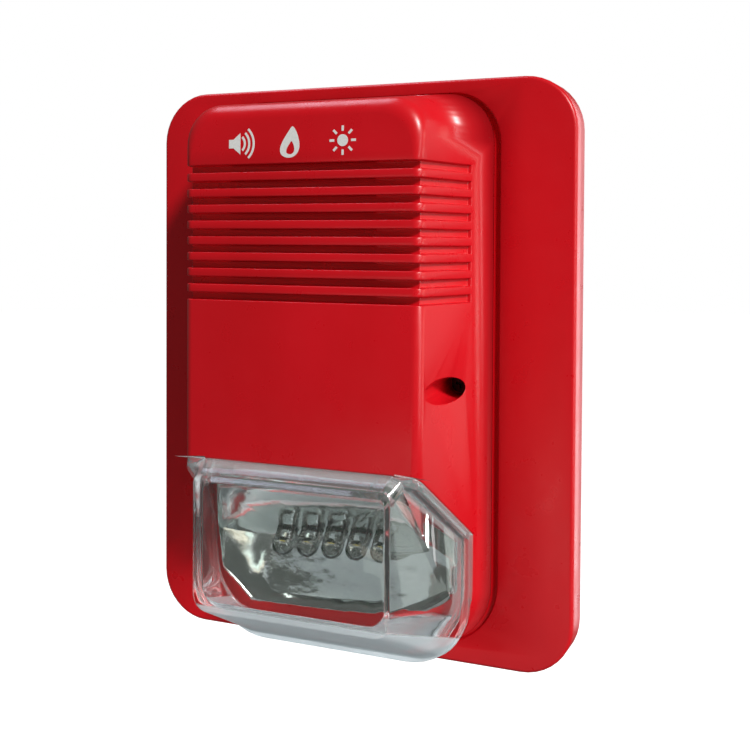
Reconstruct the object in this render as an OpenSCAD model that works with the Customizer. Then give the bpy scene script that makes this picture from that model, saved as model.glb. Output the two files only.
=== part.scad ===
// Wall-mounted horn strobe: a wide wall plate, a drafted louvred head, a clear strobe lens and the works inside.
// Frame: +Z up, +X to the right of someone facing it, +Y into the wall. The origin is the centre of the wall face.
// A depth is a distance out from the wall, so a depth of d lies at y = -d.

/* [Wall plate] */
// Width of the wall plate
plate_w = 116; // [110:1:130]
// Height of the wall plate
plate_h = 144; // [142:1:160]
// Thickness of the wall plate
plate_t = 7.5; // [7:0.5:8]
// Corner radius of the wall plate
plate_r = 13; // [10:1:15]
// Radius of the wall plate's front edge
plate_edge_r = 1; // [1:0.5:2]
// Spacing of the two mounting slots
slot_spacing = 60.3; // [58:0.1:62]
// Diameter of the cable entry
cable_entry_d = 18; // [12:1:20]

/* [Head housing] */
// Half the width of the head at its rear edge
head_rear_hw = 38; // [37:0.5:40]
// Half the width of the head at its front face
head_front_hw = 30.5; // [30:0.5:31.5]
// Top of the head at its rear edge
head_top = 68.3; // [67:0.1:69]
// Bottom of the head at its rear edge
head_bottom = -67.3; // [-69:0.1:-67]
// Depth of the head's front face
head_depth = 37.5; // [37:0.5:38.5]
// Wall thickness of the head
wall = 2.2; // [2:0.1:2.4]
// Number of louvre grooves
groove_count = 9; // [1:1:9]
// Pitch of the louvre grooves
groove_pitch = 3.77; // [3.6:0.01:3.9]
// Height of one louvre groove
groove_h = 1.8; // [1.4:0.1:2]
// Upper edge of the highest louvre groove
groove_top = 50; // [49:0.5:51]

/* [Strobe] */
// Depth of the lens's front window
lens_depth = 41.5; // [41:0.5:43]
// Number of light-emitting diodes in the row
led_count = 5; // [1:1:5]
// Pitch of the diodes along the row
led_pitch = 6.2; // [6:0.1:6.6]
// Angle of the diodes below level
led_tilt = 52; // [51:1:53]

/* [Cover screws] */
// Distance of each cover screw from the middle
cover_screw_x = 31.45; // [31.4:0.05:31.5]
// Height of the cover screws
cover_screw_z = -1.7; // [-3:0.1:-1]
// Diameter of the screwdriver bore
cover_bore_d = 5.9; // [5.8:0.1:6]
// Lean of the screwdriver bore away from the middle
cover_bore_lean = 6.8; // [6.6:0.1:7]

/* [Wiring] */
// Number of wire terminals
terminal_count = 4; // [1:1:4]
// Pitch of the wire terminals
terminal_pitch = 5; // [5:0.1:5.2]
// Number of plug-in pins between plate and head
pin_count = 4; // [1:1:4]

/* [Hidden] */

$fn = 64;
eps = 0.01;
far = 200;

// Wall plate
plate_wall = 2.2;
platform_top = 8.6;
platform_inset = 1.5;
channel_side = 1.1;
channel_end = 0.3;
channel_floor = 6.3;
well_x = 24;
well_z = [-34, 24];
well_floor = 2.2;
well_wall = 2;
slot_z = 12;
slot_r = 2.1;
slot_len = 8;
cable_z = 12;
rib_x = 16;
rib_clear = 1;
cover_boss_d = 8;
bore_x = 33;
bore_d = 27.95;
board_screw_x = 19;
pilot_r = 1.35;

// Head housing
head_rear = 8.7;
head_top_slope = 0.148;
head_side_slope = (head_rear_hw - head_front_hw) / (head_depth - head_rear);
corner_top_r = 12;
corner_bottom_r = 16;
top_fillet = 3.5;
side_fillet = 2;
groove_front_d = 2;
groove_side_d = 0.7;
groove_rear = 18;
slit_mouth = 0.8;
slit_hw = 19;
louvre_pad = 1.8;
louvre_pad_hw = 25;
post_x = 23;
post_z = [-12, 57];
post_r = 3;

// Line where the lens meets the head, in depth and height: its front end, its corner and its slope
split_front = [37.5, -19.8];
split_corner = [16.2, -37];
split_slope = (split_front[1] - split_corner[1]) / (split_front[0] - split_corner[0]);

// Lens
lens_hw = 25.5;
lens_z = [-55.5, -23];
lens_side_slope = 0.345;
lens_bevel_slope = 0.8;
lens_bottom_slope = 0.53;
lens_floor_slope = 0.33;
lens_lip = [35.5, -69.4];
lens_wall = 2;
lens_rim = 2;
tongue_gap = 0.2;
tongue_t = 1;
tongue_len = 2.2;

// Reflector and diodes: the ridge is the line where its upper facet meets its back wall
ridge = [14, -42.5];
facet_slope = 1 / tan(led_tilt);
reflector_t = 1.2;
led_from_ridge = 3.4;
led_r = 2.5;
led_flange_r = 2.9;
led_flange_t = 1;
led_body_l = 6.1;
led_lead_gap = 1.27;
led_board_t = 1.2;
led_board_w = 34;
led_board_h = 8.4;

// Boards and what they carry
main_board_d = 13.9;
board_t = 1.6;
main_front = main_board_d + board_t;
base_board_d = 3.6;
base_board_z = -19;
base_front = base_board_d + board_t;
terminal_z = -23;
terminal_h = 7.5;
header_z = -10;
pin_r = 0.4;
pin_pitch = 2.54;

// Sounder
sounder_z = 35;
sounder_r = 21;
sounder_front = head_depth - wall - louvre_pad;
gasket_t = 1;
cap_t = 2;
cup_rear = 18;
disc_d = 26;
cap_rear = sounder_front - gasket_t - cap_t;
ear = 18;

// Cover screws
seat_d = 11;
washer_t = 0.4;
cover_head_r = 2.35;
cover_head_h = 1.8;
cover_shank_r = 1.3;
cover_tip = 2.7;

// Puts a flat shape drawn in x and z at a depth and gives it a thickness away from the wall
module at_depth(d, t) {
    translate([0, -d, 0]) rotate([90, 0, 0]) linear_extrude(t) children();
}

// A round bar that points away from the wall
module bar(x, z, d, t, r) {
    at_depth(d, t) translate([x, z]) circle(r);
}

// Points along a quarter circle, from angle a
function arc(cx, cz, r, a, n = 10) = [for (i = [0:n]) [cx + r * cos(a + 90 * i / n), cz + r * sin(a + 90 * i / n)]];

// Outline with its own radius at the top and the bottom corners
function outline(hw, top, bottom, rt, rb) = concat(
    arc(hw - rt, top - rt, rt, 0), arc(-hw + rt, top - rt, rt, 90),
    arc(-hw + rb, bottom + rb, rb, 180), arc(hw - rb, bottom + rb, rb, 270));

// How far a front edge of radius r has turned in at depth d, on a form that ends at depth front
function turned_in(d, front, r) = d <= front - r ? 0 : r - sqrt(max(0, r * r - pow(d - front + r, 2)));

// The head's drafted form, taken in on all sides by an inset
module head_form(inset = 0, rear = head_rear) {
    front = head_depth - inset;
    rt = max(top_fillet - inset, 0.5);
    rs = max(side_fillet - inset, 0.5);
    depths = concat([rear, front - rt], [for (i = [1:6]) front - rt + rt * sin(15 * i)]);
    hull() for (d = depths) {
        out = d - head_rear;
        side = turned_in(d, front, rs) + inset;
        top = turned_in(d, front, rt) + inset;
        at_depth(d - eps, eps) polygon(outline(
            head_rear_hw - head_side_slope * out - side,
            head_top - head_top_slope * out - top,
            head_bottom + head_side_slope * out + side,
            max(corner_top_r - inset - out / 8, 2),
            max(corner_bottom_r - inset - out / 8, 2)));
    }
}

// Everything in front of the line where the lens meets the head, moved back by off
module split_region(off = 0) {
    lean = off * sqrt(1 + split_slope * split_slope);
    c = split_corner[0] - off;
    function split_z(d) = split_corner[1] + (d - split_corner[0]) * split_slope + lean;
    translate([-far / 2, 0, 0]) rotate([90, 0, 90]) linear_extrude(far)
        polygon([[-c, split_z(c)], [-60, split_z(60)], [-60, -90], [-c, -90]]);
}

// Wall plate
module plate_form() {
    hull() for (a = [0:15:90]) {
        turn = plate_edge_r * (1 - cos(a));
        at_depth(0, plate_t - plate_edge_r + plate_edge_r * sin(a))
            polygon(outline(plate_w / 2 - turn, plate_h / 2 - turn, -plate_h / 2 + turn,
                            plate_r - turn, plate_r - turn));
    }
}

// Outline of the head's rear edge, widened at its sides and lengthened at its ends
function foot(side, end) = outline(head_rear_hw + side, head_top + end, head_bottom - end, corner_top_r + end, corner_bottom_r + end);

module plate_platform() {
    at_depth(plate_t - 1, platform_top - plate_t + 1) polygon(foot(-platform_inset, -platform_inset));
}

// Channel in the plate's face round the foot of the head
module shadow_channel() {
    at_depth(channel_floor, 20) difference() {
        polygon(foot(channel_side, channel_end));
        polygon(foot(-platform_inset, -platform_inset));
    }
}

module slot_pad(x) {
    at_depth(0, platform_top - eps) translate([x - 6.3, slot_z - 5]) square([12.6, 10]);
}

module mounting_slot(x) {
    run = slot_len / 2 - slot_r;
    at_depth(-1, 20) {
        translate([x - run, slot_z - slot_r]) square([2 * run, 2 * slot_r]);
        translate([x - run, slot_z]) circle(slot_r);
        translate([x + run, slot_z]) circle(slot_r);
    }
}

// Rib behind the plate's face, from one height to another
module plate_rib(side, low, high) {
    at_depth(rib_clear, plate_t - rib_clear - 1) translate([side * rib_x - 0.75, low - 1]) square([1.5, high - low + 2]);
}

module base_plate() {
    hollow_w = plate_w / 2 - plate_wall;
    hollow_h = plate_h / 2 - plate_wall;
    color("firebrick") difference() {
        union() {
            difference() {
                plate_form();
                at_depth(-1, plate_t - plate_wall + 1)
                    polygon(outline(hollow_w, hollow_h, -hollow_h, plate_r - plate_wall, plate_r - plate_wall));
            }
            plate_platform();
            at_depth(0, plate_t) translate([-well_x - well_wall, well_z[0] - well_wall])
                square([2 * (well_x + well_wall), well_z[1] - well_z[0] + 2 * well_wall]);
            for (side = [-1, 1]) {
                slot_pad(side * slot_spacing / 2);
                bar(side * cover_screw_x, cover_screw_z, 1, plate_t, cover_boss_d / 2);
                plate_rib(side, well_z[1], hollow_h);
                plate_rib(side, -hollow_h, well_z[0]);
            }
        }
        shadow_channel();
        at_depth(well_floor, 20) translate([-well_x, well_z[0]]) square([2 * well_x, well_z[1] - well_z[0]]);
        for (side = [-1, 1]) {
            mounting_slot(side * slot_spacing / 2);
            bar(side * cover_screw_x, cover_screw_z, 1.8, 20, pilot_r);
        }
        bar(0, cable_z, -1, 10, cable_entry_d / 2);
        for (side = [-1, 1]) bar(side * board_screw_x, base_board_z, 0.8, 10, 1.05);
    }
    color("firebrick") for (side = [-1, 1]) difference() {
        bar(side * board_screw_x, base_board_z, well_floor - eps, base_board_d - well_floor + eps, 2.5);
        bar(side * board_screw_x, base_board_z, 0.8, 10, 1.05);
    }
}

// Wiring in the well of the wall plate
module base_board() {
    color("darkgreen") difference() {
        at_depth(base_board_d, board_t) translate([-22.5, base_board_z - 13.5]) square([45, 27]);
        for (side = [-1, 1]) bar(side * board_screw_x, base_board_z, 0, 20, 1.2);
        for (i = [0:pin_count - 1]) bar(pin_x(i), header_z, 0, 20, 0.5);
    }
}

module small_screw(x, z, seat, shank, head_r = 1.9, shank_r = 1) {
    bar(x, z, seat - shank, shank + eps, shank_r);
    difference() {
        bar(x, z, seat, 1.5, head_r);
        at_depth(seat + 0.8, 1) translate([x, z]) {
            square([2.2, 0.5], center = true);
            square([0.5, 2.2], center = true);
        }
    }
}

module base_board_screws() {
    color("silver") for (side = [-1, 1]) small_screw(side * board_screw_x, base_board_z, base_front, 4.2);
}

function terminal_x(i) = (i - (terminal_count - 1) / 2) * terminal_pitch;
function pin_x(i) = (i - (pin_count - 1) / 2) * pin_pitch;

module terminal_body() {
    w = terminal_count * terminal_pitch;
    color("seagreen") difference() {
        at_depth(base_front, terminal_h) translate([-w / 2, terminal_z - 4]) square([w, 8]);
        for (i = [0:terminal_count - 1]) {
            at_depth(base_front + 0.6, 5) translate([terminal_x(i) - 2, terminal_z - 5]) square([4, 7]);
            bar(terminal_x(i), terminal_z, base_front + 5, 10, 1.3);
            bar(terminal_x(i), terminal_z, base_front + terminal_h - 1.6, 10, 1.75);
        }
    }
}

// Fixed bar in each way, against which the cage pulls the wire
module terminal_contacts() {
    color("goldenrod") for (i = [0:terminal_count - 1])
        at_depth(base_front + 2.75, 0.5) translate([terminal_x(i) - 0.8, terminal_z - 3.6]) square([1.6, 5.6]);
}

module terminal_screw(i) {
    x = terminal_x(i);
    head_d = base_front + terminal_h - 1.6;
    color("silver") {
        bar(x, terminal_z, base_front + 3.4, head_d - base_front - 3.4 + eps, 1.25);
        difference() {
            bar(x, terminal_z, head_d, 1.4, 1.65);
            at_depth(head_d + 0.7, 2) translate([x, terminal_z]) square([4, 0.6], center = true);
        }
    }
}

// Cage that rises round the fixed bar as its screw is turned
module wire_clamp(i) {
    x = terminal_x(i);
    color("silver") difference() {
        at_depth(base_front + 0.7, 3.6) translate([x - 1.8, terminal_z - 1.6]) square([3.6, 3.2]);
        at_depth(base_front + 1.2, 2.3) translate([x - 1.2, terminal_z - 5]) square([2.4, 10]);
        bar(x, terminal_z, base_front + 2.2, 6, 1.45);
    }
}

module pin_header() {
    color("dimgray") difference() {
        at_depth(base_front, 2.5)
            translate([-pin_count * pin_pitch / 2, header_z - 1.25]) square([pin_count * pin_pitch, 2.5]);
        for (i = [0:pin_count - 1]) bar(pin_x(i), header_z, 0, 20, pin_r + 0.02);
    }
}

module plug_pins() {
    color("gold") for (i = [0:pin_count - 1]) bar(pin_x(i), header_z, 2.8, 10.2, pin_r);
}

// Head housing
module louvres() {
    side = head_front_hw - groove_side_d + head_side_slope * (head_depth - groove_rear);
    front = head_front_hw - groove_side_d;
    difference() {
        for (i = [0:groove_count - 1])
            translate([-far / 2, -60, groove_top - i * groove_pitch - groove_h]) cube([far, 60 - groove_rear, groove_h]);
        translate([0, 0, -50]) linear_extrude(far)
            polygon([[side, -groove_rear + 1], [front, -head_depth + groove_front_d],
                     [-front, -head_depth + groove_front_d], [-side, -groove_rear + 1]]);
    }
}

// Slots that leave each groove through its upper wall, hidden from the front, and run up and back into the head
module sound_slits() {
    floor_d = head_depth - groove_front_d;
    back_d = head_depth - wall - louvre_pad - 0.2;
    rise = 1.8;
    for (i = [0:groove_count - 1])
        translate([-slit_hw, 0, groove_top - i * groove_pitch - eps]) rotate([90, 0, 90]) linear_extrude(2 * slit_hw)
            polygon([[-floor_d - slit_mouth, 0], [-floor_d, 0], [-back_d, rise], [-back_d, rise + slit_mouth]]);
}

module head_cavity() {
    difference() {
        head_form(wall, head_rear - 1);
        at_depth(sounder_front, 20) translate([-louvre_pad_hw, groove_top - groove_count * groove_pitch - 1.5])
            square([2 * louvre_pad_hw, groove_count * groove_pitch + 3]);
    }
}

// Round bar along a screwdriver bore: it leans outward, so that the bore breaks out of the drafted side in a short ellipse
module leaning_bar(side, r, rear) {
    intersection() {
        translate([side * bore_x, -bore_d, cover_screw_z]) rotate([90, 0, side * cover_bore_lean])
            cylinder(h = 70, r = r, center = true);
        at_depth(rear, far / 2) square(far, center = true);
    }
}

module head_posts() {
    for (side = [-1, 1]) {
        leaning_bar(side, cover_boss_d / 2, head_rear);
        for (z = post_z) bar(side * post_x, z, main_front, head_depth - wall - main_front + 1, post_r);
        bar(side * ear, sounder_z - ear, cap_rear, 6, 2.4);
    }
}

module front_housing() {
    color("red") difference() {
        union() {
            difference() {
                head_form();
                head_cavity();
            }
            intersection() {
                head_form();
                head_posts();
            }
        }
        louvres();
        sound_slits();
        split_region();
        for (side = [-1, 1]) {
            leaning_bar(side, cover_bore_d / 2, seat_d);
            bar(side * cover_screw_x, cover_screw_z, 0, seat_d + 1, 1.6);
            for (z = post_z) bar(side * post_x, z, 0, main_front + 7, 1.05);
            bar(side * ear, sounder_z - ear, 0, sounder_front + 0.5, 1.05);
        }
    }
}

// Strobe
module lens_form(inset = 0, bottom_slope = lens_bottom_slope) {
    rear = 10;
    out = lens_depth - inset - rear;
    hull() {
        at_depth(lens_depth - inset - eps, eps)
            polygon(outline(lens_hw - inset, lens_z[1] - inset, lens_z[0] + inset, 2.5, 4));
        at_depth(rear, eps)
            polygon(outline(lens_hw - inset + lens_side_slope * out, lens_z[1] - inset + lens_bevel_slope * out,
                            lens_z[0] + inset - bottom_slope * out, 3, 14));
    }
}

module strobe_lens() {
    color("lightcyan", 0.5) {
        difference() {
            intersection() {
                union() {
                    lens_form();
                    difference() {
                        head_form();
                        split_region(-lens_rim);
                    }
                    at_depth(split_corner[0], lens_rim)
                        polygon(outline(lens_lip[0], split_corner[1] - 4, lens_lip[1], 1, 16));
                }
                split_region();
            }
            lens_form(lens_wall, lens_floor_slope);
        }
        difference() {
            head_form(wall + tongue_gap);
            head_form(wall + tongue_gap + tongue_t);
            split_region(-eps);
            difference() {
                translate([-far / 2, -far / 2, -far / 2]) cube(far);
                split_region(tongue_len);
            }
        }
    }
}

// Corner points of the reflector's bowl, from the back wall out to its front edge
function bowl(t) = [
    [18 + 0.8 * t, ridge[0] - t, -56.5 - 0.8 * t], [22 + 0.8 * t, ridge[0] - t, -52],
    [22 + 0.8 * t, ridge[0] - t, facet_z(ridge[0] - t, t)],
    [22.5 + 0.7 * t, 16, -57.5 - 0.8 * t], [29.8 + 0.8 * t, 16, -50.5 - 0.5 * t], [29.8 + 0.8 * t, 16, facet_z(16, t)],
    [21 + 0.8 * t, 34.5, facet_z(34.5, t)]];

// Height of the upper facet at a depth, on the face that stands off it by t
function facet_z(d, t) = ridge[1] + (d - ridge[0]) * facet_slope + t / cos(90 - led_tilt);

module bowl_form(t, reach) {
    hull() for (p = bowl(t), side = [-1, 1]) {
        translate([side * p[0] - eps / 2, -p[1], p[2]]) cube(eps);
        if (p[1] > 15) translate([side * p[0] - eps / 2, -p[1] - reach, p[2] - reach]) cube(eps);
    }
}

// Places children on the upper facet: their z axis points out of it, along the diodes
module on_facet(x, s) {
    translate([x, -ridge[0] - s * sin(led_tilt), ridge[1] + s * cos(led_tilt)]) rotate([90 + led_tilt, 0, 0]) children();
}

function led_x(i) = (i - (led_count - 1) / 2) * led_pitch;

module reflector() {
    color("gray") difference() {
        bowl_form(reflector_t, 0);
        bowl_form(0, 8);
        for (i = [0:led_count - 1]) on_facet(led_x(i), led_from_ridge) translate([0, 0, -3]) cylinder(h = 6, r = led_r + 0.1);
    }
}

module led(i) {
    color("white", 0.6) on_facet(led_x(i), led_from_ridge) {
        translate([0, 0, -reflector_t - led_flange_t]) cylinder(h = led_flange_t, r = led_flange_r);
        translate([0, 0, -reflector_t - eps]) cylinder(h = led_body_l - led_flange_t + eps, r = led_r);
        translate([0, 0, -reflector_t - led_flange_t + led_body_l]) sphere(led_r);
    }
}

module led_leads() {
    color("silver") for (i = [0:led_count - 1], side = [-1, 1])
        on_facet(led_x(i) + side * led_lead_gap, led_from_ridge)
            translate([0, 0, -reflector_t - led_flange_t - led_board_t - 1.2]) cylinder(h = led_board_t + 1.2, r = 0.28);
}

module led_board() {
    color("darkgreen") difference() {
        on_facet(0, led_from_ridge) translate([-led_board_w / 2, -led_board_h / 2, -reflector_t - led_flange_t - led_board_t])
            cube([led_board_w, led_board_h, led_board_t]);
        for (i = [0:led_count - 1], side = [-1, 1])
            on_facet(led_x(i) + side * led_lead_gap, led_from_ridge) translate([0, 0, -8]) cylinder(h = 8, r = 0.33);
    }
}

// Main board and its components
module main_board() {
    color("darkgreen") difference() {
        at_depth(main_board_d, board_t) translate([-27, -30]) square([54, 91]);
        for (side = [-1, 1], z = post_z) bar(side * post_x, z, 0, 30, 1.2);
    }
}

module board_screws() {
    color("silver") for (side = [-1, 1], z = post_z) {
        bar(side * post_x, z, main_board_d - 1.6, 1.6, 2);
        bar(side * post_x, z, main_board_d - eps, 7, 1);
    }
}

module plug_socket() {
    w = pin_count * pin_pitch;
    color("dimgray") difference() {
        at_depth(8.2, main_board_d - 8.2) translate([-w / 2, header_z - 1.5]) square([w, 3]);
        for (i = [0:pin_count - 1]) bar(pin_x(i), header_z, 5, 8.5, pin_r + 0.05);
    }
}

module driver_chip() {
    color("dimgray") {
        at_depth(main_front + 0.5, 3.3) translate([-11.8, -23]) square([9.6, 6.4]);
        for (i = [0:3], side = [-1, 1]) at_depth(main_front, 2)
            translate([-11.2 + i * 2.54, -19.8 + side * 3.5 - 0.3]) square([0.6, 0.6]);
    }
}

module filter_capacitor() {
    color("navy") difference() {
        bar(-18, 3, main_front, 16, 5);
        translate([-18, -main_front - 2, 3]) rotate([90, 0, 0]) rotate_extrude() translate([5.25, 0]) circle(0.5);
    }
}

module inductor_core() {
    color("dimgray") {
        bar(-4, 0, main_front, 1.4, 4.5);
        bar(-4, 0, main_front, 10, 2.2);
        bar(-4, 0, main_front + 8.6, 1.4, 4.5);
    }
}

module inductor_winding() {
    color("peru") difference() {
        bar(-4, 0, main_front + 1.5, 7, 4.1);
        bar(-4, 0, main_front, 12, 2.25);
    }
}

module power_transistor() {
    color("dimgray") {
        at_depth(main_front + 3, 9) translate([7, -3]) square([10, 4.4]);
        at_depth(main_front + 11.9, 5) translate([7, 0.1]) square([10, 1.3]);
        for (i = [-1:1]) at_depth(main_front, 3 + eps) translate([11.7 + i * 2.54, -1.6]) square([0.6, 0.6]);
    }
}

// A part with a lead at each end that turns down into the board
module axial_part(x, z, body_l, body_r, span) {
    translate([x - body_l / 2, -main_front - body_r - 0.5, z]) rotate([0, 90, 0]) cylinder(h = body_l, r = body_r);
    for (side = [-1, 1]) {
        translate([x + side * span / 4, -main_front - body_r - 0.5, z]) rotate([0, 90, 0])
            cylinder(h = span / 2, r = 0.28, center = true);
        bar(x + side * span / 2, z, main_front, body_r + 0.9, 0.34);
    }
}

module rectifier_diodes() {
    color("dimgray") for (i = [0:3]) axial_part(5, -10 - i * 4, 5, 1.3, 9);
}

module resistors() {
    color("tan") for (i = [0:4]) axial_part(15, -24 + i * 3, 5.6, 0.9, 8);
}

// Sounder
module sounder_cup() {
    color("dimgray") difference() {
        bar(0, sounder_z, cup_rear, cap_rear - cup_rear, sounder_r);
        bar(0, sounder_z, cup_rear + 1.5, disc_d - cup_rear - 1.5, 15.5);
        bar(0, sounder_z, disc_d, 20, sounder_r - 1.5);
        for (side = [-1, 1]) bar(side * 3, sounder_z - 8, 0, 30, 1);
    }
}

module sounder_cap() {
    color("dimgray") difference() {
        union() {
            bar(0, sounder_z, cap_rear, cap_t, sounder_r);
            for (side = [-1, 1]) bar(side * ear, sounder_z - ear, cap_rear, cap_t, 5);
        }
        bar(0, sounder_z, 0, 50, 4);
        for (a = [0:60:300]) bar(10 * cos(a), sounder_z + 10 * sin(a), 0, 50, 2.5);
        for (side = [-1, 1]) bar(side * ear, sounder_z - ear, 0, 50, 2.45);
    }
}

module sounder_gasket() {
    color("black") difference() {
        bar(0, sounder_z, sounder_front - gasket_t, gasket_t, sounder_r - 0.5);
        bar(0, sounder_z, 0, 50, sounder_r - 4);
    }
}

module sounder_screws() {
    color("silver") for (side = [-1, 1]) {
        bar(side * ear, sounder_z - ear, cap_rear - 1.6, 1.6, 3.2);
        bar(side * ear, sounder_z - ear, cap_rear - eps, 3.4, 1);
    }
}

module piezo_plate() {
    color("gold") bar(0, sounder_z, disc_d, 0.4, sounder_r - 1.8);
}

module piezo_ceramic() {
    color("white") bar(0, sounder_z, disc_d + 0.4, 0.3, 12.5);
}

// A lead that runs straight between the points of its route
module lead(route, r = 0.6) {
    for (i = [0:len(route) - 2]) {
        a = route[i];
        run = route[i + 1] - a;
        translate(a) rotate([0, acos(run[2] / norm(run)), atan2(run[1], run[0])]) cylinder(h = norm(run), r = r);
        if (i > 0) translate(a) sphere(r + 0.04);
    }
}

function sounder_route(side) = [
    [side * 3, -disc_d + 0.1, sounder_z - 8], [side * 3, -17, sounder_z - 8], [side * 3, -main_front - 0.6, sounder_z - 11]];
function led_route(side) = [
    [side * 10, -16.9, -35.8], [side * 10, -16.1, -34.8], [side * 10, -17.2, -31.5],
    [side * 10, -17.2, -28.5], [side * 10, -main_front - 0.45, -27.2]];

// Cover screws: each turns in a loose washer that rises with it
module cover_screw(side) {
    x = side * cover_screw_x;
    head_d = seat_d + washer_t;
    color("silver") {
        bar(x, cover_screw_z, cover_tip, head_d - cover_tip + eps, cover_shank_r);
        difference() {
            bar(x, cover_screw_z, head_d, cover_head_h, cover_head_r);
            at_depth(head_d + 0.9, 2) translate([x, cover_screw_z]) {
                square([2.6, 0.6], center = true);
                square([0.6, 2.6], center = true);
            }
        }
    }
}

module cover_washer(side) {
    color("silver") difference() {
        bar(side * cover_screw_x, cover_screw_z, seat_d, washer_t, cover_head_r);
        bar(side * cover_screw_x, cover_screw_z, 0, 30, cover_shank_r + 0.05);
    }
}

base_plate();
base_board();
base_board_screws();
terminal_body();
terminal_contacts();
terminal_screw(0);  // terminal_screw_1
terminal_screw(1);  // terminal_screw_2
terminal_screw(2);  // terminal_screw_3
terminal_screw(3);  // terminal_screw_4
wire_clamp(0);  // wire_clamp_1
wire_clamp(1);  // wire_clamp_2
wire_clamp(2);  // wire_clamp_3
wire_clamp(3);  // wire_clamp_4
pin_header();
plug_pins();
front_housing();
strobe_lens();
reflector();
led(0);  // led_1
led(1);  // led_2
led(2);  // led_3
led(3);  // led_4
led(4);  // led_5
led_leads();
led_board();
main_board();
board_screws();
plug_socket();
driver_chip();
filter_capacitor();
inductor_core();
inductor_winding();
power_transistor();
rectifier_diodes();
resistors();
sounder_cup();
sounder_cap();
sounder_gasket();
sounder_screws();
piezo_plate();
piezo_ceramic();
color("red") lead(sounder_route(-1));  // sounder_lead_red
color("black") lead(sounder_route(1));  // sounder_lead_black
color("red") lead(led_route(-1));  // led_lead_red
color("black") lead(led_route(1));  // led_lead_black
cover_screw(-1);  // cover_screw_left
cover_washer(-1);  // cover_washer_left
cover_screw(1);  // cover_screw_right
cover_washer(1);  // cover_washer_right
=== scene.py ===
import math

import bmesh
import bpy
from mathutils import Matrix, Vector


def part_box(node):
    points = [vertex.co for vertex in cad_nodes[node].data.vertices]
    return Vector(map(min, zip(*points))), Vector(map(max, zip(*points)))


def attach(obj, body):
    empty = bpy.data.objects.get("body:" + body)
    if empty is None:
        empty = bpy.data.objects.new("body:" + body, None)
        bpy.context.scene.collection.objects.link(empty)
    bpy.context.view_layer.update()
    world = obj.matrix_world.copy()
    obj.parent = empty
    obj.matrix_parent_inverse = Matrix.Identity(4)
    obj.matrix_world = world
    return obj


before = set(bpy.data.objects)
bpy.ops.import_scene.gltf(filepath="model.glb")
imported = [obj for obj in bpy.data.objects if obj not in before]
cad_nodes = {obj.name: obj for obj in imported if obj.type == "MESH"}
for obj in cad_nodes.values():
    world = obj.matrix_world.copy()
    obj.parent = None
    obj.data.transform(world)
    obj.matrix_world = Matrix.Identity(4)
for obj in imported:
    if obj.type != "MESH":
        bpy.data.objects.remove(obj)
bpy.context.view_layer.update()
MM = 0.001


# ---------- Finishes ----------

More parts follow.
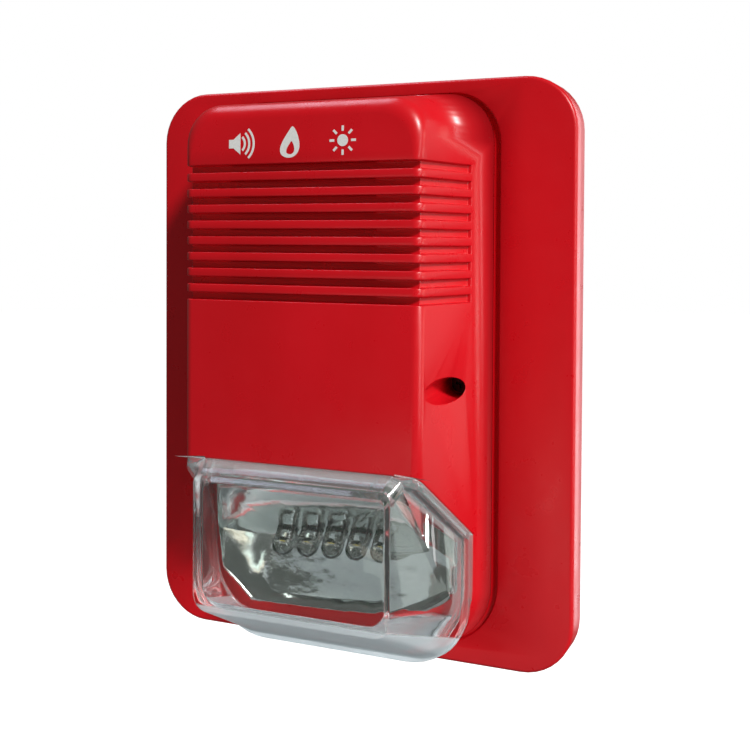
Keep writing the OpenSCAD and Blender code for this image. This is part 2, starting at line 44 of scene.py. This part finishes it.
class Finish:
    """A material with one Principled shader, and short ways to join patterns to it."""

    def __init__(self, name):
        self.material = bpy.data.materials.new(name)
        self.material.use_nodes = True
        self.tree = self.material.node_tree
        self.tree.nodes.clear()
        self.out = self.add("ShaderNodeOutputMaterial")
        self.shader = self.add("ShaderNodeBsdfPrincipled")
        self.join(self.shader.outputs["BSDF"], self.out.inputs["Surface"])
        self.where = self.add("ShaderNodeTexCoord").outputs["Object"]

    def add(self, kind, **settings):
        node = self.tree.nodes.new(kind)
        for setting, value in settings.items():
            setattr(node, setting, value)
        return node

    def join(self, source, target):
        self.tree.links.new(source, target)

    def set(self, **values):
        for socket, value in values.items():
            self.shader.inputs[socket.replace("_", " ")].default_value = value
        return self

    def placed(self, scale=(1, 1, 1), centre=(0, 0, 0), turn=(0, 0, 0)):
        """Object coordinates moved so that centre is the origin, then turned and stretched."""
        shift = self.add("ShaderNodeMapping")
        shift.inputs["Location"].default_value = [-c for c in centre]
        self.join(self.where, shift.inputs["Vector"])
        stretch = self.add("ShaderNodeMapping")
        stretch.inputs["Rotation"].default_value = turn
        stretch.inputs["Scale"].default_value = scale
        self.join(shift.outputs["Vector"], stretch.inputs["Vector"])
        return stretch.outputs["Vector"]

    def grain(self, size, detail=2.0, stretch=(1, 1, 1), rough=0.5):
        """Soft noise whose blobs are about size metres across."""
        noise = self.add("ShaderNodeTexNoise")
        noise.inputs["Scale"].default_value = 1 / size
        noise.inputs["Detail"].default_value = detail
        noise.inputs["Roughness"].default_value = rough
        self.join(self.placed(stretch), noise.inputs["Vector"])
        return noise.outputs["Fac"]

    def span(self, value, low, high, start=0.0, end=1.0):
        """Value from start to end, carried over to low to high."""
        node = self.add("ShaderNodeMapRange")
        node.inputs["From Min"].default_value = start
        node.inputs["From Max"].default_value = end
        node.inputs["To Min"].default_value = low
        node.inputs["To Max"].default_value = high
        self.join(value, node.inputs["Value"])
        return node.outputs["Result"]

    def calculated(self, operation, first, second):
        node = self.add("ShaderNodeMath", operation=operation)
        for socket, value in zip(node.inputs, (first, second)):
            if isinstance(value, (int, float)):
                socket.default_value = value
            else:
                self.join(value, socket)
        return node.outputs["Value"]

    def plus(self, first, second):
        return self.calculated("ADD", first, second)

    def times(self, first, second):
        return self.calculated("MULTIPLY", first, second)

    def larger(self, first, second):
        return self.calculated("MAXIMUM", first, second)

    def blend(self, share, first, second):
        """One colour at share 0 and the other at share 1."""
        node = self.add("ShaderNodeMix", data_type="RGBA")
        self.join(share, node.inputs["Factor"])
        for socket, colour in zip((node.inputs[6], node.inputs[7]), (first, second)):
            if isinstance(colour, tuple):
                socket.default_value = (*colour, 1)
            else:
                self.join(colour, socket)
        return node.outputs[2]

    def axis(self, letter, source=None):
        """One coordinate, in metres."""
        split = self.add("ShaderNodeSeparateXYZ")
        self.join(source or self.where, split.inputs["Vector"])
        return split.outputs[letter]

    def colour(self, source):
        self.join(source, self.shader.inputs["Base Color"])
        return self

    def rough(self, source):
        self.join(source, self.shader.inputs["Roughness"])
        return self

    def bump(self, height, depth, strength=1.0):
        """Raises the surface by depth metres where height is 1."""
        node = self.add("ShaderNodeBump")
        node.inputs["Strength"].default_value = strength
        node.inputs["Distance"].default_value = depth
        self.join(height, node.inputs["Height"])
        self.join(node.outputs["Normal"], self.shader.inputs["Normal"])
        return self

    def lets_lamps_through(self, share=(1, 1, 1)):
        """Glass would shut out the lamps, so shadow rays pass straight through it."""
        clear = self.add("ShaderNodeBsdfTransparent")
        clear.inputs["Color"].default_value = (*share, 1)
        path = self.add("ShaderNodeLightPath")
        mix = self.add("ShaderNodeMixShader")
        self.join(path.outputs["Is Shadow Ray"], mix.inputs["Fac"])
        self.join(self.shader.outputs["BSDF"], mix.inputs[1])
        self.join(clear.outputs["BSDF"], mix.inputs[2])
        self.join(mix.outputs["Shader"], self.out.inputs["Surface"])
        return self


def moulded_red():
    """Glossy red ABS with faint flow and orange peel."""
    f = Finish("red_abs_moulding")
    f.set(IOR=1.5, Specular_IOR_Level=0.5)
    flow = f.grain(22 * MM, 3, (1, 1, 0.35))
    f.colour(f.blend(f.span(flow, 0, 1, 0.3, 0.7), (0.60, 0.0035, 0.009), (0.66, 0.0045, 0.012)))
    f.rough(f.span(f.grain(6 * MM, 5), 0.26, 0.36, 0.3, 0.7))
    peel = f.plus(f.grain(2.5 * MM, 2), f.times(f.grain(0.3 * MM, 1), 0.06))
    return f.bump(peel, 0.012 * MM).material


def matt_moulding(name, base):
    """Plain matt plastic, lacquer or ceramic in one colour, slightly clouded."""
    f = Finish(name).set(IOR=1.5)
    light = tuple(1.7 * c for c in base)
    f.colour(f.blend(f.grain(3 * MM, 4), base, light))
    f.rough(f.span(f.grain(0.5 * MM, 2), 0.38, 0.58))
    return f.bump(f.grain(0.22 * MM, 2), 0.02 * MM).material


def terminal_green():
    f = Finish("terminal_green_polyamide").set(IOR=1.53)
    f.colour(f.blend(f.grain(4 * MM, 3), (0.02, 0.20, 0.06), (0.035, 0.27, 0.09)))
    f.rough(f.span(f.grain(0.6 * MM), 0.34, 0.5))
    return f.bump(f.grain(0.3 * MM), 0.015 * MM).material


def board_laminate():
    """Green solder mask over copper tracks that run in straight stretches."""
    f = Finish("board_solder_mask").set(IOR=1.5, Coat_Weight=0.4, Coat_Roughness=0.12)

    def tracks(turn, pitch, seed):
        wave = f.add("ShaderNodeTexWave", bands_direction="X", wave_profile="SAW")
        wave.inputs["Scale"].default_value = 1 / (pitch * 20 / (2 * math.pi))
        f.join(f.placed(turn=turn), wave.inputs["Vector"])
        line = f.span(wave.outputs["Fac"], 0, 1, 0.60, 0.62)
        patch = f.add("ShaderNodeTexVoronoi", feature="F1", distance="CHEBYCHEV")
        patch.inputs["Scale"].default_value = 1 / (9 * MM)
        f.join(f.placed(centre=(seed * MM, 0, 3 * seed * MM)), patch.inputs["Vector"])
        area = f.span(f.axis("X", patch.outputs["Position"]), 0, 1, -0.002, 0.002)
        return f.times(line, area)

    across = tracks((0, 0, 0), 1.5 * MM, 3)
    along = tracks((0, math.radians(90), 0), 1.9 * MM, 11)
    copper = f.larger(across, along)
    mask = f.blend(copper, (0.008, 0.072, 0.026), (0.022, 0.17, 0.055))
    weave = f.grain(0.9 * MM, 3, (1, 1, 1))
    f.colour(f.blend(f.span(weave, 0, 0.35), mask, (0.012, 0.11, 0.04)))
    f.rough(f.span(f.grain(2 * MM, 3), 0.22, 0.4))
    return f.bump(f.plus(copper, f.times(weave, 0.2)), 0.03 * MM).material


def zinc_steel():
    f = Finish("zinc_plated_steel").set(Metallic=1.0)
    f.colour(f.blend(f.grain(1.5 * MM, 4), (0.60, 0.60, 0.57), (0.74, 0.73, 0.69)))
    brushed = f.grain(0.35 * MM, 3, (1, 0.12, 1))
    f.rough(f.span(brushed, 0.18, 0.38))
    return f.bump(brushed, 0.008 * MM).material


def bright_metal(name, dark, light, low=0.14, high=0.3):
    f = Finish(name).set(Metallic=1.0)
    f.colour(f.blend(f.grain(1.2 * MM, 4), dark, light))
    f.rough(f.span(f.grain(0.5 * MM, 3), low, high))
    return f.bump(f.grain(0.3 * MM), 0.006 * MM).material


def clear_moulding():
    """Clear polycarbonate with a slight haze, frosted and painted pale blue-white in its thick lower wall
    and along its rims: partly frosting, partly a painted glow for light carried through the thick walls to
    their edges.
    """
    f = Finish("clear_polycarbonate").set(IOR=1.5)
    depth = f.times(f.axis("Y"), -1)
    height = f.axis("Z")

    def above(slope, edge, soft=0.6):
        """1 above a line that climbs with depth, its height edge millimetres at the wall."""
        lift = f.plus(height, f.times(depth, -slope))
        return f.span(lift, 0, 1, edge * MM, (edge + soft) * MM)

    lower_wall = f.calculated("SUBTRACT", 1, above(0.33, -67.9))
    upper_rim = f.times(above(0.8, -53.0), 0.3)
    upper_bevel = f.times(above(-0.8, 8.2), 0.2)
    flange = f.span(depth, 0.25, 0, 18.0 * MM, 18.5 * MM)
    # painted glow: the pale colour and lower transmission on the lower wall and rims stand in for light
    # carried through the thick walls, over some real frosting
    frost_and_painted_glow = f.larger(f.larger(lower_wall, upper_rim), f.larger(upper_bevel, flange))
    clear = f.blend(f.grain(14 * MM, 2), (0.96, 0.98, 0.98), (0.985, 0.99, 0.992))
    f.colour(f.blend(frost_and_painted_glow, clear, (0.80, 0.87, 0.91)))
    f.rough(f.plus(f.span(f.grain(0.8 * MM, 3), 0.0, 0.03), f.times(frost_and_painted_glow, 0.34)))
    f.join(f.span(frost_and_painted_glow, 0.99, 0.40), f.shader.inputs["Transmission Weight"])
    flow = f.grain(7 * MM, 2, (1, 1, 0.4))
    f.bump(f.plus(flow, f.times(f.grain(0.5 * MM), 0.05)), 0.05 * MM)
    return f.lets_lamps_through((0.93, 0.94, 0.94)).material


def clear_epoxy():
    f = Finish("clear_epoxy")
    f.set(Transmission_Weight=1.0, IOR=1.54)
    f.colour(f.blend(f.grain(3 * MM, 2), (0.94, 0.96, 0.96), (0.98, 0.985, 0.98)))
    f.rough(f.span(f.grain(0.7 * MM, 2), 0.0, 0.05))
    f.bump(f.grain(1.2 * MM, 2), 0.02 * MM)
    return f.lets_lamps_through((0.9, 0.92, 0.92)).material


def metallised_plastic():
    f = Finish("metallised_plastic").set(Metallic=1.0)
    f.colour(f.blend(f.grain(9 * MM, 3), (0.60, 0.64, 0.61), (0.70, 0.73, 0.70)))
    f.rough(f.span(f.grain(0.9 * MM, 4), 0.04, 0.14))
    peel = f.plus(f.grain(9 * MM, 2), f.times(f.grain(1.1 * MM, 2), 0.06))
    return f.bump(peel, 0.22 * MM).material


def sign_ink():
    """White ink, a little thin and worn in random patches."""
    f = Finish("white_ink").set(IOR=1.48)
    f.colour(f.blend(f.span(f.grain(0.5 * MM, 4), 0, 1, 0.35, 0.7), (0.78, 0.77, 0.75), (0.87, 0.86, 0.84)))
    f.rough(f.span(f.grain(0.3 * MM, 3), 0.38, 0.55))
    return f.bump(f.grain(0.12 * MM, 2), 0.006 * MM).material


def phosphor():
    f = Finish("led_phosphor").set(IOR=1.45)
    f.colour(f.blend(f.grain(0.25 * MM, 3), (0.80, 0.62, 0.06), (0.90, 0.76, 0.16)))
    f.rough(f.span(f.grain(0.2 * MM), 0.3, 0.5))
    return f.bump(f.grain(0.15 * MM), 0.01 * MM).material


def solder():
    f = Finish("tin_solder").set(Metallic=1.0)
    f.colour(f.blend(f.grain(0.8 * MM, 3), (0.62, 0.63, 0.64), (0.78, 0.78, 0.77)))
    f.rough(f.span(f.grain(0.5 * MM, 3), 0.12, 0.34))
    return f.bump(f.grain(0.4 * MM, 2), 0.02 * MM).material


FINISH = {
    "red_abs": moulded_red(),
    "board_green": board_laminate(),
    "screw_steel": zinc_steel(),
    "terminal_green": terminal_green(),
    # black oxide steel, its darkness also painted shade: these screws sit where the bores show only shade
    "black_steel": bright_metal("black_oxide_steel", (0.045, 0.042, 0.042), (0.075, 0.07, 0.07), 0.3, 0.45),
    "brass": bright_metal("bright_brass", (0.70, 0.50, 0.20), (0.84, 0.66, 0.34)),
    "black_plastic": matt_moulding("black_moulding", (0.018, 0.018, 0.02)),
    "clear_lens": clear_moulding(),
    "metallised": metallised_plastic(),
    "clear_epoxy": clear_epoxy(),
    "capacitor_sleeve": matt_moulding("capacitor_sleeve", (0.012, 0.018, 0.07)),
    "ferrite": matt_moulding("ferrite", (0.03, 0.03, 0.034)),
    "copper": bright_metal("enamelled_copper", (0.52, 0.18, 0.06), (0.72, 0.31, 0.13), 0.2, 0.34),
    "resistor_body": matt_moulding("resistor_lacquer", (0.42, 0.30, 0.16)),
    "foam": matt_moulding("closed_cell_foam", (0.02, 0.02, 0.021)),
    "white_ceramic": matt_moulding("silvered_ceramic", (0.55, 0.55, 0.52)),
    "red_lead": matt_moulding("red_insulation", (0.35, 0.008, 0.008)),
    "black_lead": matt_moulding("black_insulation", (0.012, 0.012, 0.012)),
}


# ---------- CAD nodes: finish and softened edges ----------

def soften(piece, radius, segments=2):
    """Joins the loose triangles of a CAD node and rounds its sharp edges, with live modifiers."""
    for face in piece.data.polygons:
        face.use_smooth = True
    weld = piece.modifiers.new("weld", "WELD")
    weld.merge_threshold = 1e-6
    flat = piece.modifiers.new("flat_faces", "DECIMATE")
    flat.decimate_type = "DISSOLVE"
    flat.angle_limit = math.radians(0.3)
    edge = piece.modifiers.new("edge", "BEVEL")
    edge.width = radius
    edge.segments = segments
    edge.limit_method = "ANGLE"
    edge.angle_limit = math.radians(32)
    edge.use_clamp_overlap = False
    edge.harden_normals = True


EDGE_RADII = {"front_housing": 0.25 * MM, "base_plate": 0.3 * MM, "strobe_lens": 0.35 * MM}

for name, node in cad_nodes.items():
    slot = node.data.materials[0].name.split(".")[0]
    for i in range(len(node.material_slots)):
        node.material_slots[i].material = FINISH[slot]
    if name in EDGE_RADII:
        soften(node, EDGE_RADII[name])
    else:
        soften(node, 0.05 * MM)


# ---------- New pieces ----------

def begin(name, primitive, **shape):
    """A primitive at its size and place, alone, in edit mode with all its faces selected."""
    bpy.ops.object.select_all(action="DESELECT")
    primitive(**shape)
    bpy.ops.object.transform_apply(location=True, rotation=True, scale=True)
    piece = bpy.context.object
    piece.name = name
    bpy.ops.object.mode_set(mode="EDIT")
    bpy.ops.mesh.select_mode(type="FACE")
    return piece


def pick_faces(piece, wanted):
    """Selects the faces whose middle and normal pass a test."""
    bpy.ops.mesh.select_all(action="DESELECT")
    mesh = bmesh.from_edit_mesh(piece.data)
    for face in mesh.faces:
        face.select_set(wanted(face.calc_center_median(), face.normal))
    bmesh.update_edit_mesh(piece.data)


def faces_up(middle, normal):
    return normal.z > 0.9


def end(piece, finish, smooth=None):
    """Leaves edit mode, shades smooth below an angle and gives the piece its finish."""
    bpy.ops.object.mode_set(mode="OBJECT")
    if smooth:
        bpy.ops.object.shade_smooth_by_angle(angle=math.radians(smooth))
    piece.data.materials.clear()
    piece.data.materials.append(finish)
    return piece


def joined(name, parts):
    bpy.ops.object.select_all(action="DESELECT")
    for part in parts:
        part.select_set(True)
    bpy.context.view_layer.objects.active = parts[0]
    bpy.ops.object.join()
    parts[0].name = name
    return parts[0]


def copied(piece, name, place):
    """A copy with its own mesh, put in place by a matrix."""
    twin = piece.copy()
    twin.data = piece.data.copy()
    twin.data.transform(place)
    twin.name = name
    bpy.context.scene.collection.objects.link(twin)
    return twin


def discard(*pieces):
    for piece in pieces:
        bpy.data.objects.remove(piece)


def printed(name, outlines, middle, finish):
    """A thin coat of ink on the head's front: closed outlines in x and z, holes where they nest."""
    curve = bpy.data.curves.new(name, "CURVE")
    curve.dimensions = "2D"
    curve.fill_mode = "BOTH"
    curve.extrude = 0.02 * MM
    for outline in outlines:
        spline = curve.splines.new("POLY")
        spline.points.add(len(outline) - 1)
        for point, (x, z) in zip(spline.points, outline):
            point.co = (x * MM, z * MM, 0, 1)
        spline.use_cyclic_u = True
    drawn = bpy.data.objects.new(name, curve)
    bpy.context.scene.collection.objects.link(drawn)
    bpy.ops.object.select_all(action="DESELECT")
    drawn.select_set(True)
    bpy.context.view_layer.objects.active = drawn
    bpy.ops.object.convert(target="MESH")
    drawn = bpy.context.object
    upright = Matrix.Rotation(math.radians(90), 4, "X")
    drawn.data.transform(Matrix.Translation(middle) @ upright)
    drawn.data.materials.append(finish)
    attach(drawn, "head")


def arc(radius, start, stop, centre=(0, 0), steps=14):
    """Points in x and z along an arc, its angles in degrees."""
    angles = (math.radians(start + (stop - start) * i / steps) for i in range(steps + 1))
    return [(centre[0] + radius * math.cos(a), centre[1] + radius * math.sin(a)) for a in angles]


def band(radius, width, start, stop, centre=(0, 0)):
    """A strip of even width along an arc."""
    outer = arc(radius + width / 2, start, stop, centre)
    return outer + arc(radius - width / 2, stop, start, centre)


def flame_edge(size, lift):
    """Drop with a bent tip: a round foot whose sides draw in to the top."""
    def point(side, degrees):
        turn = math.radians(degrees)
        wide = size * math.cos(turn) * (1 - 0.55 * math.sin(turn)) * 0.72
        lean = 0.16 * size * math.sin(1.4 * turn)
        return side * wide + lean, size * 1.15 * math.sin(turn) + lift

    steps = 24
    step = 180 / steps
    up = [point(1, -90 + step * i) for i in range(steps + 1)]
    down = [point(-1, 90 - step * i) for i in range(1, steps)]
    return up + down


def print_signs():
    """Three plain signs above the louvres: a sounding horn, a flame and a flashing lamp."""
    ink = sign_ink()
    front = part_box("front_housing")[0].y - 0.02 * MM
    height = 54.8 * MM
    spread = 13.3 * MM
    centre = -1.65 * MM
    places = [Vector((centre + step * spread, front, height)) for step in (-1, 0, 1)]
    sides = [(-3.2, 1.0), (-2.0, 1.0), (-0.1, 2.5)]
    horn = [(x, -z) for x, z in sides] + sides[::-1]
    waves = [band(radius, 0.55, -48, 48, (-1.0, 0)) for radius in (2.1, 3.3, 4.5)]
    printed("sign_horn", [horn] + waves, places[0], ink)
    printed("sign_flame", [flame_edge(3.1, 0), flame_edge(1.3, -1.3)], places[1], ink)
    rays = []
    for i in range(8):
        turn = math.radians(45 * i)
        along = (math.cos(turn), math.sin(turn))
        across = (-along[1] * 0.28, along[0] * 0.28)
        ray = ((2.1, 1), (3.3, 1), (3.3, -1), (2.1, -1))
        rays.append([(r * along[0] + s * across[0], r * along[1] + s * across[1]) for r, s in ray])
    printed("sign_flash", [arc(1.35, 0, 345, steps=23)] + rays, places[2], ink)


CUP_X = -0.3 * MM


def model_led_frame(metal):
    """The two posts inside a diode and the cup on the shorter one, along z from the diode's foot."""
    parts = []
    low = -2.1 * MM
    reach = 0.5 * MM
    for side, high in ((-1, 2.1 * MM), (1, 2.4 * MM)):
        post = begin("post", bpy.ops.mesh.primitive_cube_add, size=1,
                     location=(1.2 * side * MM, 0, (low + high) / 2),
                     scale=(0.55 * MM, 0.45 * MM, high - low))
        pick_faces(post, faces_up)
        bpy.ops.mesh.extrude_region_move(TRANSFORM_OT_translate={"value": (-0.45 * side * MM, 0, reach)})
        bpy.ops.transform.resize(value=(1.8, 1.5, 1), center_override=(0.75 * side * MM, 0, high + reach))
        bpy.ops.mesh.select_all(action="SELECT")
        bpy.ops.mesh.bevel(offset=0.06 * MM, segments=2)
        parts.append(end(post, metal, 40))
    cup = begin("cup", bpy.ops.mesh.primitive_cone_add, vertices=32, radius1=0.6 * MM, radius2=1.05 * MM,
                depth=1.0 * MM, location=(CUP_X, 0, 2.9 * MM))
    pick_faces(cup, faces_up)
    bpy.ops.mesh.inset(thickness=0.12 * MM)
    bpy.ops.mesh.extrude_region_move(TRANSFORM_OT_translate={"value": (0, 0, -0.55 * MM)})
    bpy.ops.transform.resize(value=(0.6, 0.6, 1), center_override=(CUP_X, 0, 2.85 * MM))
    parts.append(end(cup, metal, 40))
    return joined("led_frame", parts)


def model_led_chip(finish):
    """The drop of yellow phosphor over the chip, in the frame's cup."""
    drop = begin("led_chip", bpy.ops.mesh.primitive_cylinder_add, vertices=32, radius=0.62 * MM,
                 depth=0.5 * MM, location=(CUP_X, 0, 3.05 * MM))
    pick_faces(drop, faces_up)
    bpy.ops.mesh.bevel(offset=0.22 * MM, segments=4)
    return end(drop, finish, 60)


def fill_leds():
    """Puts a frame and a chip in each diode, which points 52 degrees below level."""
    models = (
        (model_led_frame(FINISH["screw_steel"]), "led_frame_", "screw_steel"),
        (model_led_chip(phosphor()), "led_chip_", "white_ceramic"))
    tilt = Matrix.Rotation(math.radians(90 + 52), 4, "X")
    dome_r = 2.5 * MM
    dome_height = 3.9 * MM
    for name in sorted(n for n in cad_nodes if n.startswith("led_") and n[4:].isdigit()):
        low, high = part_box(name)
        dome = Vector(((low.x + high.x) / 2, low.y + dome_r, low.z + dome_r))
        foot = dome - tilt.to_3x3() @ Vector((0, 0, dome_height))
        place = Matrix.Translation(foot) @ tilt
        number = name[4:]
        for model, kind, slot in models:
            piece = copied(model, kind + number, place)
            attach(piece, "head")
    discard(*(model for model, kind, slot in models))


def model_solder_joint(finish):
    """A cone of solder with the clipped end of a lead in its tip, facing +y from the origin."""
    height = 0.5 * MM
    joint = begin("joint", bpy.ops.mesh.primitive_cone_add, vertices=12,
                  radius1=0.95 * MM, radius2=0.42 * MM, depth=height,
                  location=(0, height / 2, 0), rotation=(math.radians(-90), 0, 0))
    pick_faces(joint, lambda middle, normal: normal.y > 0.9)
    bpy.ops.mesh.inset(thickness=0.12 * MM)
    bpy.ops.mesh.extrude_region_move(TRANSFORM_OT_translate={"value": (0, 0.45 * MM, 0)})
    bpy.ops.transform.resize(value=(0.85, 1, 0.85), center_override=(0, 0.95 * MM, 0))
    return end(joint, finish, 50)


LEAD_PITCH = 2.54 * MM
AXIAL_LEAD_R = 0.34 * MM


def axial_spots(node, count, first, pitch):
    """Both ends of the leads of a column of parts that lie across the board."""
    low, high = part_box(node)
    ends = (low.x + AXIAL_LEAD_R, high.x - AXIAL_LEAD_R)
    return [(x, low.z + (first + pitch * i) * MM) for i in range(count) for x in ends]


def two_lead_spots(node, apart):
    """Each side of the middle of a part that stands on the board."""
    low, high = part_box(node)
    middle = (low + high) / 2
    return [(middle.x + side * apart * MM, middle.z) for side in (-1, 1)]


def lead_end_spot(node, top):
    """The end of a sounder or diode lead, just inside the end of its box."""
    low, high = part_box(node)
    inside = 0.7 * MM
    return (low.x + high.x) / 2, high.z - inside if top else low.z + inside


def solder_spots():
    low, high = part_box("driver_chip")
    rows = (low.z + 0.3 * MM, high.z - 0.3 * MM)
    spots = [(low.x + 0.9 * MM + LEAD_PITCH * i, z) for i in range(4) for z in rows]
    low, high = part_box("plug_pins")
    edge = 0.4 * MM
    step = (high.x - low.x - 2 * edge) / 3
    spots += [(low.x + edge + step * i, (low.z + high.z) / 2 - 3.2 * MM) for i in range(4)]
    spots += axial_spots("rectifier_diodes", 4, 1.3, 4)
    spots += axial_spots("resistors", 5, 0.9, 3)
    spots += two_lead_spots("filter_capacitor", 2.5)
    spots += two_lead_spots("inductor_core", 3.0)
    low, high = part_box("power_transistor")
    spots += [((low.x + high.x) / 2 + LEAD_PITCH * i, low.z + 1.7 * MM) for i in (-1, 0, 1)]
    spots += [lead_end_spot(node, False) for node in ("sounder_lead_red", "sounder_lead_black")]
    spots += [lead_end_spot(node, True) for node in ("led_lead_red", "led_lead_black")]
    return spots


def solder_main_board():
    """Joints on the rear of the main board, under the leads of what it carries."""
    model = model_solder_joint(solder())
    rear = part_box("main_board")[1].y
    joints = [copied(model, "joint", Matrix.Translation((x, rear, z))) for x, z in solder_spots()]
    piece = joined("main_board_joints", joints)
    discard(model)
    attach(piece, "head")


print_signs()
fill_leds()
solder_main_board()


# ---------- Camera, light and floor ----------

def place_camera():
    """Seen from the right and a little above the middle, as close as a hand's reach."""
    spot = Vector((117.6, -250.2, 31.2)) * MM
    yaw, pitch, roll = (math.radians(a) for a in (22.45, 1.35, 0.35))
    ahead = Vector((-math.sin(yaw) * math.cos(pitch), math.cos(yaw) * math.cos(pitch), -math.sin(pitch)))
    level = Vector((math.cos(yaw), math.sin(yaw), 0))
    right = Matrix.Rotation(-roll, 3, ahead) @ level
    up = right.cross(ahead)
    data = bpy.data.cameras.new("camera")
    data.sensor_width = 36
    data.lens = 50.5
    data.shift_x = -0.0549
    data.shift_y = -0.1394
    data.clip_start = 0.01
    camera = bpy.data.objects.new("camera", data)
    camera.matrix_world = Matrix.Translation(spot) @ Matrix((right, up, -ahead)).transposed().to_4x4()
    bpy.context.scene.collection.objects.link(camera)
    bpy.context.scene.camera = camera


def aimed(name, data, spot):
    """A lamp at spot that faces the middle of the object."""
    lamp = bpy.data.objects.new(name, data)
    lamp.location = spot
    lamp.rotation_euler = (Vector((0, -0.02, 0)) - Vector(spot)).to_track_quat("-Z", "Y").to_euler()
    bpy.context.scene.collection.objects.link(lamp)
    return lamp


def soft_box(name, spot, size, power, colour=(1, 1, 1), mirrored=True):
    """A flat lamp of size metres, kept out of reflections unless mirrored."""
    data = bpy.data.lights.new(name, "AREA")
    data.shape = "RECTANGLE"
    data.size, data.size_y = size
    data.energy = power
    data.color = colour
    lamp = aimed(name, data, spot)
    lamp.visible_glossy = mirrored
    lamp.visible_transmission = mirrored


def key_light():
    """A broad, distant light from the right and above."""
    data = bpy.data.lights.new("key", "SUN")
    data.energy = 3.0
    data.angle = math.radians(9)
    data.color = (1.0, 0.985, 0.96)
    side, height = math.radians(53), math.radians(36)
    ahead = math.cos(height)
    aimed("key", data, (2 * math.sin(side) * ahead, -2 * math.cos(side) * ahead, 2 * math.sin(height)))


def hang_lamps():
    """Window-like lamps, each placed for the highlight or the fill that its name says."""
    key_light()
    soft_box("skylight", (-0.36, 0.02, 0.8), (0.5, 0.36), 2.6, (0.80, 0.84, 1.0))
    soft_box("right_strip", (1.1, -0.5, 0.12), (0.12, 0.9), 2.6)
    soft_box("right_window_low", (0.95, 0.12, 0.22), (0.32, 0.26), 0.8, (1.0, 0.95, 0.84))
    soft_box("right_window_high", (0.95, 0.12, -0.14), (0.32, 0.30), 0.9, (0.90, 1.0, 0.93))
    soft_box("right_wall", (0.85, 0.65, 0.05), (0.6, 1.3), 1.6)
    soft_box("table_bounce", (0.05, -0.30, -0.33), (0.5, 0.3), 0.55, (0.90, 0.95, 1.0), mirrored=False)
    soft_box("low_window_cream", (-0.06, -0.78, -0.235), (0.2, 0.035), 0.04, (1.0, 0.90, 0.74))
    soft_box("low_window_mint", (-0.06, -0.78, -0.29), (0.2, 0.05), 0.06, (0.88, 1.0, 0.94))
    soft_box("rear_panel", (0.55, 1.15, 0.05), (0.7, 1.2), 6.0, (0.96, 0.97, 1.0))


def surround():
    """A dim greenish room in reflections, and white paper where the camera looks past the object."""
    world = bpy.data.worlds.new("studio")
    world.use_nodes = True
    bpy.context.scene.world = world
    tree = world.node_tree
    tree.nodes.clear()
    out = tree.nodes.new("ShaderNodeOutputWorld")
    room = tree.nodes.new("ShaderNodeBackground")
    room.inputs["Color"].default_value = (0.90, 1.0, 0.92, 1)
    room.inputs["Strength"].default_value = 0.09
    paper = tree.nodes.new("ShaderNodeBackground")
    paper.inputs["Color"].default_value = (1, 1, 1, 1)
    paper.inputs["Strength"].default_value = 1.0
    path = tree.nodes.new("ShaderNodeLightPath")
    mix = tree.nodes.new("ShaderNodeMixShader")
    tree.links.new(path.outputs["Is Camera Ray"], mix.inputs["Fac"])
    tree.links.new(room.outputs["Background"], mix.inputs[1])
    tree.links.new(paper.outputs["Background"], mix.inputs[2])
    tree.links.new(mix.outputs["Shader"], out.inputs["Surface"])


def lay_floor():
    """A pale disc under the object that only the camera and its shadows see."""
    bpy.ops.object.select_all(action="DESELECT")
    bpy.ops.mesh.primitive_circle_add(vertices=64, radius=6, fill_type="NGON", location=(0, 0, -0.35))
    floor = bpy.context.object
    floor.name = "floor"
    f = Finish("pale_floor").set(IOR=1.4)
    f.colour(f.blend(f.grain(0.5, 2), (0.90, 0.90, 0.90), (0.93, 0.93, 0.93)))
    f.rough(f.span(f.grain(0.05, 2), 0.6, 0.7))
    f.set(Emission_Color=(1, 1, 1, 1), Emission_Strength=0.5)
    floor.data.materials.append(f.material)
    floor.visible_glossy = False
    floor.visible_diffuse = False
    floor.visible_transmission = False


place_camera()
hang_lamps()
surround()
lay_floor()
bpy.context.scene.view_settings.view_transform = "Standard"
